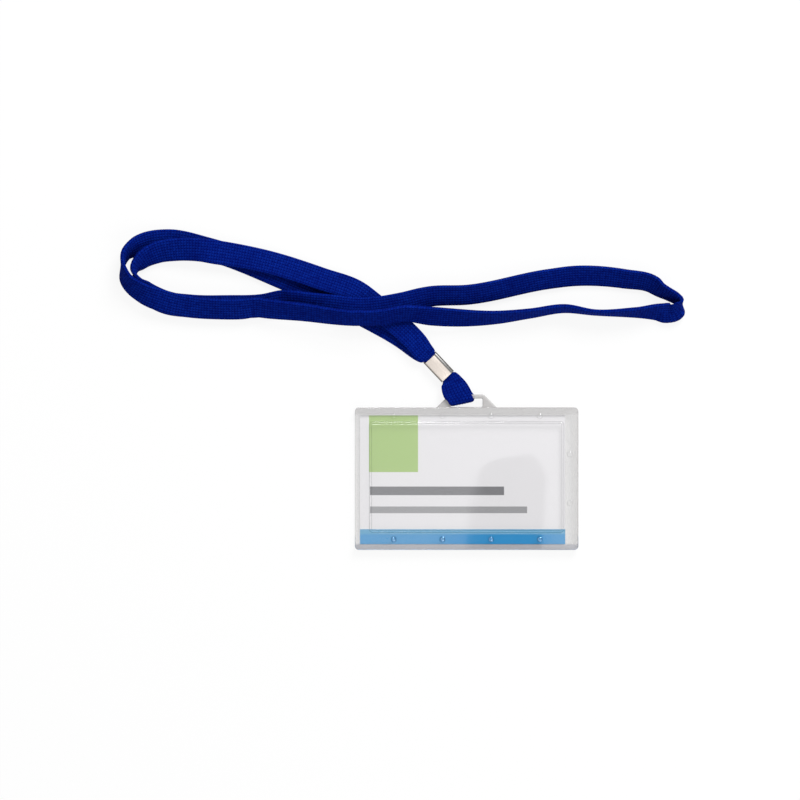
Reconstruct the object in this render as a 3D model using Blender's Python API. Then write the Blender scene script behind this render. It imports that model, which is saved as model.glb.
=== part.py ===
"""Lanyard with a card holder, lying on a table as it does when taken off.

A flat knit ribbon makes the neck loop. Both of its strands run into a folded metal
crimp, and the ribbon's tail below the crimp loops round the bar of the holder's lug.
The holder is a rear tray with three rim walls and a front cover with a raised window.
The insert card slides in and out of the open left end.
X runs along the card, Y up the card, Z out of its printed face, and Z = 0 is the table.
"""
import math

import bmesh
import bpy
from mathutils import Vector

for thing in list(bpy.data.objects):
    bpy.data.objects.remove(thing, do_unlink=True)

MM = 0.001

# Clearances
SEAT_GAP = 0.3 * MM
CARD_PLAY = 0.3 * MM
BAR_CLEARANCE = 0.25 * MM
TABLE_CLEARANCE = 0.1 * MM

# Insert card
CARD_LENGTH = 85.4 * MM
CARD_HEIGHT = 53.6 * MM
CARD_THICK = 0.5 * MM

# Rear tray
PLATE_THICK = 1.2 * MM
POCKET_DEPTH = 1.7 * MM
WALL_TOP = 3.0 * MM
WALL_BOTTOM = 2.0 * MM
WALL_END = 2.5 * MM
END_SPACE = 2.9 * MM
MOUTH_SETBACK = 2.1 * MM
OUTER_CORNER = 1.7 * MM
POCKET_CORNER = 0.8 * MM
FOOT_CHAMFER = 0.3 * MM

# Lug and its slot
LUG_BASE = 25.0 * MM
LUG_TOP = 14.2 * MM
LUG_THICK = 1.3 * MM
LUG_CORNER = 0.6 * MM
LUG_ROOT = 1.5 * MM
SLOT_LENGTH = 13.3 * MM
SLOT_HEIGHT = 3.5 * MM
SLOT_FOOT = 0.2 * MM
SLOT_CORNER = 0.5 * MM
BAR_HEIGHT = 1.7 * MM
BAR_ROUNDING = 0.45 * MM

# Front cover
COVER_THICK = 0.8 * MM
WINDOW_RISE = 0.7 * MM
WINDOW_DRAFT = 0.5 * MM
WINDOW_CORNER = 1.6 * MM
WINDOW_MARGIN_TOP = 5.8 * MM
WINDOW_MARGIN_BOTTOM = 7.1 * MM
WINDOW_MARGIN_ENDS = 5.9 * MM
COVER_EDGE = 0.25 * MM
PIP_RADIUS = 1.2 * MM
PIP_RISE = 0.45 * MM
PIP_PITCH = 20.2 * MM
PIP_INSET = 3.6 * MM
LOW_PIP_INSET = 4.4 * MM
PIPS_ALONG = 4
PIPS_ACROSS = 2

# Ribbon
RIBBON_WIDTH = 9.6 * MM
RIBBON_THICK = 1.7 * MM
PRESSED_THICK = 1.0 * MM
COLLAR = 0.6 * MM
FOLD_WIDTH = 9.0 * MM
FOLD_SPREAD = 1.4 * MM
FOLD_TURN = math.radians(12)
FOLD_SEAT = -2.65 * MM
FOLD_SLACK = 1.05 * MM

# Crimp sleeve: a strip folded round the ribbon, its free edge lapped over the other
CRIMP_LENGTH = 11.3 * MM
CRIMP_WIDTH = 7.0 * MM
CRIMP_WALL = 0.5 * MM
CRIMP_CORNER = 1.1 * MM
CRIMP_LAP = 1.2 * MM
CRIMP_LAP_GAP = 0.1 * MM
CRIMP_SEAM_INSET = 1.65 * MM
CRIMP_SLANT = 0.9 * MM
CRIMP_ANGLE = math.radians(133.2)
CRIMP_FROM_BAR = Vector((-7.82 * MM, 8.29 * MM))

# Neck strap: points chosen along the ribbon's middle, from the front layer in the crimp,
# round the left end, out to the right end and back to the rear layer in the crimp.
# x and y from the lug's bar and height above the table, in millimetres, then the roll
# about the ribbon's run in degrees, then the share of its width that the ribbon keeps
STRAP_ROUTE = [
    (-18.0, 18.7, 3.2, 180, 0.90),
    (-20.7, 22.2, 3.4, 180, 0.96),
    (-26.0, 27.6, 3.3, 182, 0.99),
    (-39.2, 38.6, 3.2, 185, 1.02),
    (-44.8, 43.0, 3.2, 188, 1.00),
    (-60.2, 48.8, 3.0, 190, 1.00),
    (-85.2, 56.5, 3.2, 185, 1.00),
    (-104.5, 60.0, 3.6, 180, 1.04),
    (-110.5, 60.8, 4.7, 167, 1.00),
    (-121.0, 61.0, 4.2, 161, 1.00),
    (-128.7, 59.8, 3.9, 151, 1.00),
    (-134.8, 56.6, 4.6, 131, 0.98),
    (-137.8, 52.6, 5.0, 103, 0.98),
    (-137.3, 48.9, 4.7, 68, 0.98),
    (-134.6, 45.0, 3.3, 34, 0.96),
    (-125.2, 39.2, 1.5, 6, 1.00),
    (-115.2, 37.7, 1.1, 0, 1.00),
    (-99.4, 37.4, 1.1, 0, 1.00),
    (-84.0, 38.0, 1.5, 3, 1.00),
    (-76.6, 39.5, 2.7, 12, 1.00),
    (-72.5, 39.7, 3.8, 28, 0.98),
    (-66.0, 39.0, 4.4, 30, 0.98),
    (-57.0, 37.8, 5.0, 18, 0.98),
    (-45.2, 36.4, 5.7, 4, 0.96),
    (-26.0, 38.8, 5.9, 10, 0.96),
    (-16.0, 41.4, 4.9, 30, 0.98),
    (0.6, 42.3, 3.9, 34, 0.98),
    (34.0, 48.8, 3.8, 34, 0.98),
    (44.8, 50.1, 3.5, 32, 0.98),
    (65.6, 48.9, 3.9, 38, 0.98),
    (77.6, 46.4, 4.3, 46, 0.98),
    (80.3, 44.4, 4.7, 57, 0.98),
    (82.8, 43.0, 5.1, 63, 0.98),
    (86.9, 40.8, 5.1, 69, 0.98),
    (88.9, 39.6, 5.2, 86, 0.98),
    (88.3, 37.8, 5.2, 112, 0.98),
    (87.2, 35.8, 5.1, 141, 0.98),
    (83.0, 34.7, 4.2, 147, 0.98),
    (79.0, 35.1, 4.2, 131, 0.98),
    (69.8, 34.9, 5.2, 109, 0.98),
    (53.1, 34.9, 5.0, 96, 0.98),
    (40.6, 36.5, 4.9, 104, 0.98),
    (26.5, 34.5, 4.9, 108, 0.98),
    (12.0, 32.8, 5.1, 119, 0.98),
    (-14.4, 33.3, 6.6, 141, 0.96),
    (-26.0, 34.4, 8.2, 134, 0.90),
    (-36.0, 32.8, 9.0, 135, 0.86),
    (-46.0, 32.5, 8.9, 135, 0.86),
    (-69.4, 35.1, 6.8, 141, 0.92),
    (-82.7, 36.4, 5.8, 146, 0.95),
    (-87.7, 37.0, 5.5, 146, 0.97),
    (-93.5, 36.3, 5.3, 150, 0.97),
    (-100.6, 36.2, 5.3, 150, 0.97),
    (-126.5, 39.8, 5.4, 160, 1.00),
    (-133.8, 42.6, 6.4, 147, 1.00),
    (-141.9, 49.7, 6.6, 118, 1.00),
    (-142.7, 54.9, 5.6, 92, 1.00),
    (-141.2, 59.5, 4.9, 68, 1.00),
    (-137.4, 62.3, 3.6, 42, 1.00),
    (-124.4, 64.8, 1.6, 8, 1.00),
    (-107.7, 61.4, 1.2, 0, 1.00),
    (-74.8, 48.7, 1.1, 0, 1.00),
    (-42.7, 33.8, 1.1, 0, 1.00),
    (-23.4, 22.4, 1.1, 0, 1.00),
    (-18.6, 18.5, 1.2, 0, 0.90),
]
SHORT_RUN = 7.0 * MM

# End loop: a leg's points from the crimp's lower mouth down to the fold under the bar.
# x and y from the lug's bar in millimetres, then the turn of the ribbon's width from the
# bar's line in degrees, then the share of its width
LOOP_LEG = [
    (-6.6, 5.9, 26, 0.89),
    (-5.1, 2.9, 20, 1.08),
    (-3.9, 0.5, 15, 1.12),
]
LOOP_PUFF = 0.5 * MM
REAR_LEG_SHIFT = 0.9 * MM
LOOP_RUN = 1.0 * MM
LOOP_STEPS = 8

# Counts that set how fine the facets are
CORNER_STEPS = 4
PIP_SEGMENTS = 12
PIP_RINGS = 6

# Places that follow from the sizes
HOLDER_WIDTH = MOUTH_SETBACK + CARD_LENGTH + END_SPACE + WALL_END
HOLDER_HEIGHT = WALL_TOP + WALL_BOTTOM + CARD_HEIGHT + 2 * CARD_PLAY
LUG_RISE = SLOT_FOOT + SLOT_HEIGHT + BAR_HEIGHT
HOLDER_BOTTOM = -(HOLDER_HEIGHT + LUG_RISE) / 2
HOLDER_MIDDLE = HOLDER_BOTTOM + HOLDER_HEIGHT / 2
HOLDER_TOP = HOLDER_BOTTOM + HOLDER_HEIGHT
RIM_HEIGHT = PLATE_THICK + POCKET_DEPTH
COVER_FOOT = RIM_HEIGHT + SEAT_GAP
COVER_FACE = COVER_FOOT + COVER_THICK
BAR_Y = HOLDER_TOP + LUG_RISE - BAR_HEIGHT / 2
BAR_FLAT = Vector((BAR_HEIGHT / 2 - BAR_ROUNDING, LUG_THICK / 2 - BAR_ROUNDING))
BAR_REACH = BAR_FLAT.length + BAR_ROUNDING
LOOP_RADIUS = BAR_REACH + BAR_CLEARANCE + PRESSED_THICK / 2
BAR_Z = TABLE_CLEARANCE + PRESSED_THICK / 2 + LOOP_RADIUS
LUG_FOOT = BAR_Z - LUG_THICK / 2
BAR = Vector((0, BAR_Y, BAR_Z))
REAR_LAYER = CRIMP_WALL + SEAT_GAP + PRESSED_THICK / 2
FRONT_LAYER = REAR_LAYER + PRESSED_THICK + SEAT_GAP
PRESSED_WIDTH = CRIMP_WIDTH - 2 * (CRIMP_WALL + SEAT_GAP)
CRIMP_RUN = Vector((math.cos(CRIMP_ANGLE), math.sin(CRIMP_ANGLE), 0))
CRIMP_ACROSS = Vector((math.sin(CRIMP_ANGLE), -math.cos(CRIMP_ANGLE), 0))
CRIMP_MOUTH = Vector((CRIMP_FROM_BAR.x, BAR_Y + CRIMP_FROM_BAR.y, 0))


def finish(name, mesh_parts, origin, colour, roughness, metallic, parent):
    """Make one named object from a bmesh, with its origin on a chosen point."""
    bmesh.ops.recalc_face_normals(mesh_parts, faces=mesh_parts.faces)
    bmesh.ops.translate(mesh_parts, verts=mesh_parts.verts, vec=-origin)
    mesh = bpy.data.meshes.new(name)
    mesh_parts.to_mesh(mesh)
    mesh_parts.free()
    thing = bpy.data.objects.new(name, mesh)
    bpy.context.scene.collection.objects.link(thing)
    thing.parent = parent
    thing.location = origin - parent.location
    material = bpy.data.materials.new(name)
    material.use_nodes = True
    shader = material.node_tree.nodes["Principled BSDF"]
    shader.inputs["Base Color"].default_value = (*colour, 1)
    shader.inputs["Roughness"].default_value = roughness
    shader.inputs["Metallic"].default_value = metallic
    mesh.materials.append(material)
    return thing


def cutter(name, mesh_parts, origin, parent):
    """Make a helper solid that is only used by a Boolean."""
    thing = finish(name, mesh_parts, origin, (0.5, 0.5, 0.5), 0.5, 0, parent)
    thing.hide_render = True
    thing.display_type = "WIRE"
    return thing


def boolean(target, helper, operation):
    """Join a helper solid to an object, or cut it away."""
    step = target.modifiers.new(helper.name, "BOOLEAN")
    step.operation = operation
    step.solver = "EXACT"
    step.object = helper


def rounded_outline(low, high, radius):
    """Points of a rectangle with round corners, counter-clockwise."""
    points = []
    corners = [(high.x, high.y, 0), (low.x, high.y, 1), (low.x, low.y, 2), (high.x, low.y, 3)]
    for x, y, quarter in corners:
        toward_middle = Vector((1 if quarter in (1, 2) else -1, 1 if quarter in (2, 3) else -1))
        centre = Vector((x, y)) + radius * toward_middle
        for step in range(CORNER_STEPS + 1):
            angle = math.pi / 2 * (quarter + step / CORNER_STEPS)
            points.append(centre + radius * Vector((math.cos(angle), math.sin(angle))))
    return points


def loft(loops):
    """Closed solid through loops of equal length, with its first and last loop filled."""
    solid = bmesh.new()
    rows = [[solid.verts.new(point) for point in loop] for loop in loops]
    for lower, upper in zip(rows, rows[1:]):
        for i, vert in enumerate(lower):
            j = (i + 1) % len(lower)
            solid.faces.new((vert, lower[j], upper[j], upper[i]))
    solid.faces.new(rows[0])
    solid.faces.new(rows[-1])
    return solid


def block(low, high, radius):
    """Upright prism with a round-cornered rectangular outline."""
    outline = rounded_outline(low.xy, high.xy, radius)
    return loft([[Vector((*point, z)) for point in outline] for z in (low.z, high.z)])


def inset_outline(inset, radius, z):
    """The holder's outline drawn in by an inset, at a height."""
    half = Vector((HOLDER_WIDTH / 2 - inset, HOLDER_HEIGHT / 2 - inset))
    middle = Vector((0, HOLDER_MIDDLE))
    return [Vector((*point, z)) for point in rounded_outline(middle - half, middle + half, radius)]


def build_tray(pivot):
    """Rear tray: a plate with walls on three sides and the lug on its top edge."""
    body = loft([
        inset_outline(FOOT_CHAMFER, OUTER_CORNER - FOOT_CHAMFER, 0),
        inset_outline(0, OUTER_CORNER, FOOT_CHAMFER),
        inset_outline(0, OUTER_CORNER, RIM_HEIGHT),
    ])
    tray = finish("holder_back", body, BAR, (0.80, 0.81, 0.82), 0.35, 0, pivot)
    past = OUTER_CORNER
    pocket_low = Vector((-HOLDER_WIDTH / 2 - past, HOLDER_BOTTOM + WALL_BOTTOM, PLATE_THICK))
    pocket_high = Vector((HOLDER_WIDTH / 2 - WALL_END, HOLDER_TOP - WALL_TOP, RIM_HEIGHT + past))
    pocket = block(pocket_low, pocket_high, POCKET_CORNER)
    boolean(tray, cutter("pocket_cut", pocket, BAR, pivot), "DIFFERENCE")
    boolean(tray, build_lug(pivot), "UNION")
    return tray


def build_lug(pivot):
    """Sloping lug with a slot, whose outer edge is the rounded bar that the ribbon goes round."""
    root_y = HOLDER_TOP - LUG_ROOT
    top_y = HOLDER_TOP + LUG_RISE
    slope = (LUG_BASE - LUG_TOP) / 2 / LUG_RISE
    root_half = LUG_BASE / 2 + slope * LUG_ROOT
    sides = [(root_half, root_y), (LUG_TOP / 2, top_y), (-LUG_TOP / 2, top_y), (-root_half, root_y)]
    plate = bmesh.new()
    verts = [plate.verts.new((x, y, LUG_FOOT)) for x, y in sides]
    face = plate.faces.new(verts)
    raised = bmesh.ops.extrude_face_region(plate, geom=[face])["geom"]
    raised_verts = [item for item in raised if isinstance(item, bmesh.types.BMVert)]
    bmesh.ops.translate(plate, verts=raised_verts, vec=(0, 0, LUG_THICK))
    upright = [edge for edge in plate.edges if abs(edge.verts[0].co.z - edge.verts[1].co.z) > LUG_THICK / 2]
    top_corners = [edge for edge in upright if edge.verts[0].co.y > HOLDER_TOP]
    bmesh.ops.bevel(plate, geom=top_corners, offset=LUG_CORNER, segments=3, profile=0.5, affect="EDGES")
    lug = cutter("lug_plate", plate, BAR, pivot)
    slot_low = Vector((-SLOT_LENGTH / 2, HOLDER_TOP + SLOT_FOOT, LUG_FOOT - LUG_THICK))
    slot_high = Vector((SLOT_LENGTH / 2, top_y - BAR_HEIGHT, LUG_FOOT + 2 * LUG_THICK))
    slot = block(slot_low, slot_high, SLOT_CORNER)
    boolean(lug, cutter("slot_cut", slot, BAR, pivot), "DIFFERENCE")
    rounding = lug.modifiers.new("round_edges", "BEVEL")
    rounding.width = BAR_ROUNDING
    rounding.segments = 3
    rounding.limit_method = "ANGLE"
    rounding.angle_limit = math.radians(60)
    return lug


def build_cover(pivot):
    """Front cover: a formed sheet with a raised window, and pips along three sides."""
    middle = Vector((0, HOLDER_MIDDLE + (WINDOW_MARGIN_BOTTOM - WINDOW_MARGIN_TOP) / 2))
    window_half = Vector((
        HOLDER_WIDTH / 2 - WINDOW_MARGIN_ENDS,
        (HOLDER_HEIGHT - WINDOW_MARGIN_TOP - WINDOW_MARGIN_BOTTOM) / 2,
    ))

    def window_outline(inset, z):
        half = window_half - Vector((inset, inset))
        radius = max(WINDOW_CORNER - inset, WINDOW_CORNER / 4)
        return [Vector((*point, z)) for point in rounded_outline(middle - half, middle + half, radius)]

    sheet = loft([
        window_outline(WINDOW_DRAFT + COVER_THICK, COVER_FOOT + WINDOW_RISE),
        window_outline(COVER_THICK, COVER_FOOT),
        inset_outline(0, OUTER_CORNER, COVER_FOOT),
        inset_outline(0, OUTER_CORNER, COVER_FACE - COVER_EDGE),
        inset_outline(COVER_EDGE, OUTER_CORNER - COVER_EDGE, COVER_FACE),
        window_outline(0, COVER_FACE),
        window_outline(WINDOW_DRAFT, COVER_FACE + WINDOW_RISE),
    ])
    cover = finish("holder_front", sheet, BAR, (0.86, 0.87, 0.89), 0.18, 0, pivot)
    places = []
    for i in range(PIPS_ALONG):
        x = (i - (PIPS_ALONG - 1) / 2) * PIP_PITCH
        places.append((x, HOLDER_TOP - PIP_INSET))
        places.append((x, HOLDER_BOTTOM + LOW_PIP_INSET))
    for i in range(PIPS_ACROSS):
        y = HOLDER_MIDDLE + (i - (PIPS_ACROSS - 1) / 2) * PIP_PITCH
        places.append((HOLDER_WIDTH / 2 - PIP_INSET, y))
    pips = bmesh.new()
    for x, y in places:
        ball = bmesh.ops.create_uvsphere(pips, u_segments=PIP_SEGMENTS, v_segments=PIP_RINGS, radius=1)
        bmesh.ops.scale(pips, verts=ball["verts"], vec=(PIP_RADIUS, PIP_RADIUS, PIP_RISE))
        bmesh.ops.translate(pips, verts=ball["verts"], vec=(x, y, COVER_FACE))
    boolean(cover, cutter("pip_domes", pips, BAR, pivot), "UNION")
    return cover


def build_card(pivot):
    """Insert card, resting on the tray's plate with its edge set back from the open end."""
    low = Vector((-HOLDER_WIDTH / 2 + MOUTH_SETBACK, HOLDER_BOTTOM + WALL_BOTTOM + CARD_PLAY, PLATE_THICK + SEAT_GAP))
    size = Vector((CARD_LENGTH, CARD_HEIGHT, CARD_THICK))
    card = bmesh.new()
    bmesh.ops.create_cube(card, size=1)
    bmesh.ops.scale(card, verts=card.verts, vec=size)
    bmesh.ops.translate(card, verts=card.verts, vec=low + size / 2)
    return finish("insert_card", card, low + size / 2, (0.90, 0.90, 0.91), 0.5, 0, pivot)


def slopes_at(rows, lengths, i):
    """Slope of each column at one row. The columns after x, y and z never overshoot their rows."""
    back = max(i - 1, 0)
    ahead = min(i, len(lengths) - 1)
    slopes = []
    for k in range(len(rows[i])):
        before = (rows[back + 1][k] - rows[back][k]) / lengths[back]
        after = (rows[ahead + 1][k] - rows[ahead][k]) / lengths[ahead]
        if k < 3:
            slopes.append((after * lengths[back] + before * lengths[ahead]) / (lengths[back] + lengths[ahead]))
        elif before * after > 0:
            slopes.append(2 * before * after / (before + after))
        else:
            slopes.append(0)
    return slopes


def smooth_through(rows, runs):
    """Rows of numbers on a smooth curve through the given rows, stepped by each run's length."""
    lengths = [(Vector(b[:3]) - Vector(a[:3])).length for a, b in zip(rows, rows[1:])]
    slopes = [slopes_at(rows, lengths, i) for i in range(len(rows))]
    result = []
    for i, length in enumerate(lengths):
        steps = runs(length)
        for step in range(steps):
            t = step / steps
            weights = (2 * t**3 - 3 * t**2 + 1, t**3 - 2 * t**2 + t, 3 * t**2 - 2 * t**3, t**3 - t**2)
            result.append([
                weights[0] * rows[i][k] + weights[1] * length * slopes[i][k]
                + weights[2] * rows[i + 1][k] + weights[3] * length * slopes[i + 1][k]
                for k in range(len(rows[i]))
            ])
    result.append(list(rows[-1]))
    return result


def ribbon_section(place, across, face, width, thick):
    """One flat oval section of ribbon: across is its width's direction, face its thickness's."""
    shoulder = width / 2 - thick * 0.4
    outline = [
        (width / 2, 0), (shoulder, thick / 2), (0, thick / 2), (-shoulder, thick / 2),
        (-width / 2, 0), (-shoulder, -thick / 2), (0, -thick / 2), (shoulder, -thick / 2),
    ]
    return [place + u * across + v * face for u, v in outline]


def run_at(places, i):
    """Direction of a line of places at one of them."""
    return (places[min(i + 1, len(places) - 1)] - places[max(i - 1, 0)]).normalized()


def crimp_place(along, height):
    """Point on the crimp's middle line, a distance up from its lower mouth."""
    return CRIMP_MOUTH + along * CRIMP_RUN + Vector((0, 0, height))


def build_strap(base):
    """Neck strap: the ribbon swept along its route, both ends pressed in the crimp."""
    half_way = CRIMP_LENGTH / 2 + SEAT_GAP / 2

    def pressed_end(layer, roll):
        return [
            (*crimp_place(half_way, layer), roll, PRESSED_WIDTH, PRESSED_THICK),
            (*crimp_place(CRIMP_LENGTH, layer), roll, PRESSED_WIDTH, PRESSED_THICK),
            (*crimp_place(CRIMP_LENGTH + COLLAR, layer), roll, CRIMP_WIDTH, PRESSED_THICK),
        ]

    rows = pressed_end(FRONT_LAYER, math.pi)
    for x, y, z, roll, share in STRAP_ROUTE:
        place = Vector((x * MM, BAR_Y + y * MM, z * MM))
        rows.append((*place, math.radians(roll), share * RIBBON_WIDTH, RIBBON_THICK))
    rows += reversed(pressed_end(REAR_LAYER, 0))
    stations = smooth_through(rows, lambda length: 1 if length < SHORT_RUN else 2)
    places = [Vector(row[:3]) for row in stations]
    sections = []
    for i, row in enumerate(stations):
        run = run_at(places, i)
        level = Vector((-run.y, run.x, 0)).normalized()
        upward = run.cross(level)
        across = math.cos(row[3]) * level + math.sin(row[3]) * upward
        sections.append(ribbon_section(places[i], across, run.cross(across), row[4], row[5]))
    strap = finish("neck_strap", loft(sections), BAR, (0.01, 0.04, 0.25), 0.85, 0, base)
    strap.data.shade_smooth()
    return strap


def build_end_loop(base):
    """End loop: the ribbon's tail from the crimp, through the slot under the bar and back."""
    half_way = CRIMP_LENGTH / 2 - SEAT_GAP / 2
    crimp_turn = CRIMP_ANGLE - math.pi / 2
    seat = BAR + Vector((FOLD_SEAT, -FOLD_SLACK, 0))
    downward = Vector((math.sin(FOLD_TURN), -math.cos(FOLD_TURN), 0))

    def leg(layer, side, shift, puff):
        rows = [
            (*crimp_place(half_way, layer), crimp_turn, PRESSED_WIDTH),
            (*crimp_place(0, layer), crimp_turn, PRESSED_WIDTH),
            (*crimp_place(-COLLAR, layer), crimp_turn, CRIMP_WIDTH),
        ]
        for x, y, turn, share in LOOP_LEG:
            part_way = (y * MM + FOLD_SLACK) / (CRIMP_FROM_BAR.y + FOLD_SLACK)
            height = layer * part_way + (BAR_Z + side * LOOP_RADIUS) * (1 - part_way)
            height += puff * math.sin(math.pi * part_way)
            place = Vector((x * MM + shift, BAR_Y + y * MM, height))
            rows.append((*place, math.radians(turn), share * RIBBON_WIDTH))
        return rows

    rows = leg(FRONT_LAYER, 1, 0, LOOP_PUFF)
    for step in range(LOOP_STEPS + 1):
        angle = math.pi * step / LOOP_STEPS
        shift = Vector((REAR_LEG_SHIFT * step / LOOP_STEPS, 0, 0))
        around = math.sin(angle) * downward + math.cos(angle) * Vector((0, 0, 1))
        width = FOLD_WIDTH + FOLD_SPREAD * abs(math.cos(angle))
        rows.append((*(seat + shift + LOOP_RADIUS * around), FOLD_TURN, width))
    rows += reversed(leg(REAR_LAYER, -1, REAR_LEG_SHIFT, 0))
    stations = smooth_through(rows, lambda length: 1 if length < LOOP_RUN else 3)
    places = [Vector(row[:3]) for row in stations]
    sections = []
    for i, row in enumerate(stations):
        across = Vector((math.cos(row[3]), math.sin(row[3]), 0))
        face = across.cross(run_at(places, i)).normalized()
        sections.append(ribbon_section(places[i], across, face, row[4], PRESSED_THICK))
    loop = finish("end_loop", loft(sections), BAR, (0.01, 0.04, 0.25), 0.85, 0, base)
    loop.data.shade_smooth()
    return loop


def round_corners(points, radius):
    """An open line of points with an arc in place of each inner corner."""
    result = [points[0]]
    for before, corner, after in zip(points, points[1:], points[2:]):
        back = (before - corner).normalized()
        ahead = (after - corner).normalized()
        half_angle = back.angle(ahead) / 2
        centre = corner + (back + ahead).normalized() * radius / math.sin(half_angle)
        first = corner + back * radius / math.tan(half_angle) - centre
        last = corner + ahead * radius / math.tan(half_angle) - centre
        for step in range(CORNER_STEPS + 1):
            between = first.lerp(last, step / CORNER_STEPS).normalized()
            result.append(centre + between * radius)
    result.append(points[-1])
    return result


def thicken(points, wall):
    """Outline of a strip whose middle line is the given open line of points."""
    left = []
    right = []
    for i, point in enumerate(points):
        before = points[max(i - 1, 0)]
        after = points[min(i + 1, len(points) - 1)]
        run = (after - before).normalized()
        side = Vector((-run.y, run.x)) * wall / 2
        left.append(point + side)
        right.append(point - side)
    return left + right[::-1]


def build_crimp(base):
    """Crimp sleeve: a metal strip folded into a flat tube, with a lapped seam on its front."""
    side = (CRIMP_WIDTH - CRIMP_WALL) / 2
    low = CRIMP_WALL / 2
    high = FRONT_LAYER + PRESSED_THICK / 2 + SEAT_GAP + CRIMP_WALL / 2
    lapped = high + CRIMP_WALL + CRIMP_LAP_GAP
    free_edge = CRIMP_WIDTH / 2 - CRIMP_SEAM_INSET
    tucked_edge = free_edge - CRIMP_LAP
    fold = [
        (free_edge, lapped), (tucked_edge - CRIMP_WALL, lapped), (-side, high), (-side, low),
        (side, low), (side, high), (tucked_edge, high),
    ]
    middle_line = round_corners([Vector(point) for point in fold], CRIMP_CORNER - CRIMP_WALL / 2)
    profile = thicken(middle_line, CRIMP_WALL)
    ends = []
    for along, slant in ((0, 0), (CRIMP_LENGTH, CRIMP_SLANT)):
        ends.append([
            crimp_place(along - slant * height / lapped, height) + across * CRIMP_ACROSS
            for across, height in profile
        ])
    return finish("crimp_sleeve", loft(ends), BAR, (0.80, 0.78, 0.74), 0.25, 1, base)


def main():
    base = bpy.data.objects.new("strap_side", None)
    base.location = BAR
    bpy.context.scene.collection.objects.link(base)
    pivot = bpy.data.objects.new("holder_pivot", None)
    pivot.location = BAR
    bpy.context.scene.collection.objects.link(pivot)
    build_strap(base)
    build_end_loop(base)
    build_crimp(base)
    build_tray(pivot)
    build_cover(pivot)
    build_card(pivot)


main()
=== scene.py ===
"""Looks of a knit lanyard with a clear card holder, laid on a white table and seen from above.

The ribbon is swept along its route with ribs round its section and stitches along them. The
cover is lofted, the crimp and the tray are remade with soft edges, the card keeps its solid,
and every finish is a node material.
X runs along the card, Y up the card, Z out of its printed face, and lengths are in metres.
"""
import math

import bmesh
import bpy
import numpy as np
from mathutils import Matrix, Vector


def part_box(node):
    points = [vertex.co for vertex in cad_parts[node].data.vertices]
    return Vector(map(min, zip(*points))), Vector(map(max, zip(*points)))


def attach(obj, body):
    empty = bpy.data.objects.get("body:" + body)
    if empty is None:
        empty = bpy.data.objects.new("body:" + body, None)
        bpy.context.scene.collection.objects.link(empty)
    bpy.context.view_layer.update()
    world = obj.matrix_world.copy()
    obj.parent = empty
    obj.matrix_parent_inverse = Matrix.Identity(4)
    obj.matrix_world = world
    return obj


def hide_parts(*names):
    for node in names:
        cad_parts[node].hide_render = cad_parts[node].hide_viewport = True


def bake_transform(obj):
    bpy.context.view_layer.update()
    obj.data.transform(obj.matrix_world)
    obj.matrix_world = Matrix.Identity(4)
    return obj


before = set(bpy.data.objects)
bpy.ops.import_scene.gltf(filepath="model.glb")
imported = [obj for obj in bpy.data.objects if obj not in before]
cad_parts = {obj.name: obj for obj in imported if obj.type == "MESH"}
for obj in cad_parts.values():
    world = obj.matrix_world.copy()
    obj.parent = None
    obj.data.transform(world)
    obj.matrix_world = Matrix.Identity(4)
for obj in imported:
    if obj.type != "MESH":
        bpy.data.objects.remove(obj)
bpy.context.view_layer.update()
MM = 0.001

# View: straight down, with the photograph's frame
VIEW_CENTRE = (-27.7 * MM, 30.0 * MM)
VIEW_WIDTH = 333.3 * MM
VIEW_HEIGHT = 1.5
SENSOR = 36.0

# The lug's bar, which the ribbon's points are measured from
BAR_Y = 31.45 * MM
BAR_Z = 2.247 * MM
LOOP_RADIUS = 1.647 * MM

# Ribbon, with the ribs and stitches of its knit
RIBBON_WIDTH = 9.6 * MM
RIBBON_THICK = 1.7 * MM
PRESSED_THICK = 1.0 * MM
PRESSED_WIDTH = 5.4 * MM
COLLAR = 0.6 * MM
RIBS = 7
RIB_RISE = 0.14 * MM
RIB_STEPS = 3
RIB_FULLNESS = 0.7
EDGE_RIBS = 2
EDGE_STEPS = 4
EDGE_ROUNDING = 0.9
CROWN = 0.10
STITCH = 1.15 * MM
STITCH_DIP = 0.3
STATION = STITCH / 2
FINE_STEPS = 4

# Crimp: its lower mouth, the way it points, its lapped seam and slanted upper mouth, and the
# heights of the two layers inside it
CRIMP_MOUTH = Vector((-7.82 * MM, BAR_Y + 8.29 * MM, 0))
CRIMP_ANGLE = math.radians(133.2)
CRIMP_RUN = Vector((math.cos(CRIMP_ANGLE), math.sin(CRIMP_ANGLE), 0))
CRIMP_ACROSS = Vector((math.sin(CRIMP_ANGLE), -math.cos(CRIMP_ANGLE), 0))
CRIMP_LENGTH = 11.3 * MM
CRIMP_WIDTH = 7.0 * MM
CRIMP_RISE = 4.25 * MM
CRIMP_SLANT = 0.9 * MM
CRIMP_EDGE = 0.15 * MM
CRIMP_SEAM = 1.85 * MM
HALF_GAP = 0.15 * MM
FRONT_LAYER = 2.6 * MM
REAR_LAYER = 1.3 * MM

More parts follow.
